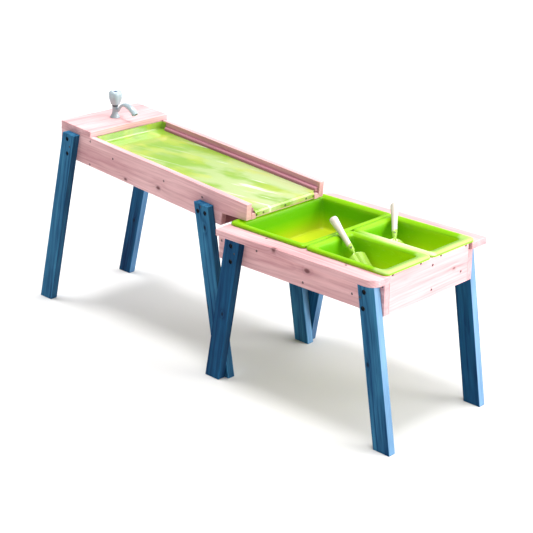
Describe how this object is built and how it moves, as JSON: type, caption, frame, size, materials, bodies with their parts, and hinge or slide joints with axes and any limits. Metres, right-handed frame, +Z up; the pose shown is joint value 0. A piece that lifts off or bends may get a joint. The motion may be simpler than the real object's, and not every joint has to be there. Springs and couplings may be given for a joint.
{
  "type": "sand and water table",
  "caption": "Low wooden play table holding lift-out plastic tubs, fed by a sloping lined chute on its own trestle with a tap; toy shovels stand in the tubs.",
  "frame": {"origin": "on the floor, under the middle of the overall length and width", "axes": "+X the way the water runs, from the chute's head to the table's far end; +Y across the table; +Z up"},
  "size_m": [1.5725, 0.48, 0.7217],
  "materials": {
    "pink_wood": "pink-stained softwood, grain showing",
    "blue_wood": "blue-stained softwood, grain showing",
    "tub_plastic": "glossy lime green moulded plastic",
    "chute_liner": "glossy lime green sheet",
    "tool_plastic": "glossy lime green moulded plastic",
    "tool_handle_wood": "pale turned wood, lacquered",
    "tap_plastic": "pale grey-blue moulded plastic",
    "index_plastic": "dark blue cap",
    "dark_steel": "dark zinc-plated steel",
    "washer_rubber": "black rubber"
  },
  "bodies": {
    "table": {"near_rail": "pink_wood", "far_rail": "pink_wood", "near_apron": "pink_wood", "far_apron": "pink_wood", "left_end_board": "pink_wood", "right_end_board": "pink_wood", "tub_cross_board": "pink_wood", "tub_divider_board": "pink_wood", "big_tub": "tub_plastic", "near_table_left_leg": "blue_wood", "near_table_left_leg_bolt_1": "dark_steel", "near_table_left_leg_bolt_2": "dark_steel", "far_table_left_leg": "blue_wood", "far_table_left_leg_bolt_1": "dark_steel", "far_table_left_leg_bolt_2": "dark_steel", "near_table_right_leg": "blue_wood", "near_table_right_leg_bolt_1": "dark_steel", "near_table_right_leg_bolt_2": "dark_steel", "far_table_right_leg": "blue_wood", "far_table_right_leg_bolt_1": "dark_steel", "far_table_right_leg_bolt_2": "dark_steel"},
    "chute": {"near_chute_board": "pink_wood", "far_chute_board": "pink_wood", "near_ledger": "pink_wood", "far_ledger": "pink_wood", "near_clamp_batten": "pink_wood", "far_clamp_batten": "pink_wood", "head_board": "pink_wood", "bulkhead_board": "pink_wood", "upper_slat": "pink_wood", "lower_bulkhead_board": "pink_wood", "lip_board": "pink_wood", "head_deck_board": "pink_wood", "front_deck_board": "pink_wood", "chute_liner": "chute_liner", "tap_body": "tap_plastic", "tap_spout": "tap_plastic", "tap_washer": "washer_rubber", "tap_lock_nut": "tap_plastic", "near_chute_head_leg": "blue_wood", "near_chute_head_leg_bolt_1": "dark_steel", "near_chute_head_leg_bolt_2": "dark_steel", "far_chute_head_leg": "blue_wood", "far_chute_head_leg_bolt_1": "dark_steel", "far_chute_head_leg_bolt_2": "dark_steel", "near_chute_lip_leg": "blue_wood", "near_chute_lip_leg_bolt_1": "dark_steel", "near_chute_lip_leg_bolt_2": "dark_steel", "far_chute_lip_leg": "blue_wood", "far_chute_lip_leg_bolt_1": "dark_steel", "far_chute_lip_leg_bolt_2": "dark_steel"},
    "tap_handle": {"tap_knob": "tap_plastic", "knob_index_cap": "index_plastic", "tap_spindle": "dark_steel"},
    "near_tub": {"near_tub": "tub_plastic"},
    "far_tub": {"far_tub": "tub_plastic"},
    "near_tool": {"near_tool_handle": "tool_handle_wood", "near_tool_blade": "tool_plastic"},
    "far_tool": {"far_tool_handle": "tool_handle_wood", "far_tool_blade": "tool_plastic"}
  },
  "joints": [
    {"name": "chute_slide_away", "type": "slide", "parent": "table", "child": "chute", "axis": [1, 0, 0], "range_m": [-0.25, 0]},
    {"name": "tap_turn", "type": "hinge", "parent": "chute", "child": "tap_handle", "pos_m": [-0.56549, 0, 0.67453], "axis": [0.0837, 0, 0.9965], "range_deg": [0, 180]},
    {"name": "near_tub_lift", "type": "slide", "parent": "table", "child": "near_tub", "axis": [0, 0, 1], "range_m": [0, 0.12]},
    {"name": "far_tub_lift", "type": "slide", "parent": "table", "child": "far_tub", "axis": [0, 0, 1], "range_m": [0, 0.12]},
    {"name": "near_tool_lift", "type": "slide", "parent": "near_tub", "child": "near_tool", "axis": [0, 0, 1], "range_m": [0, 0.15]},
    {"name": "far_tool_lift", "type": "slide", "parent": "far_tub", "child": "far_tool", "axis": [0, 0, 1], "range_m": [0, 0.15]}
  ]
}
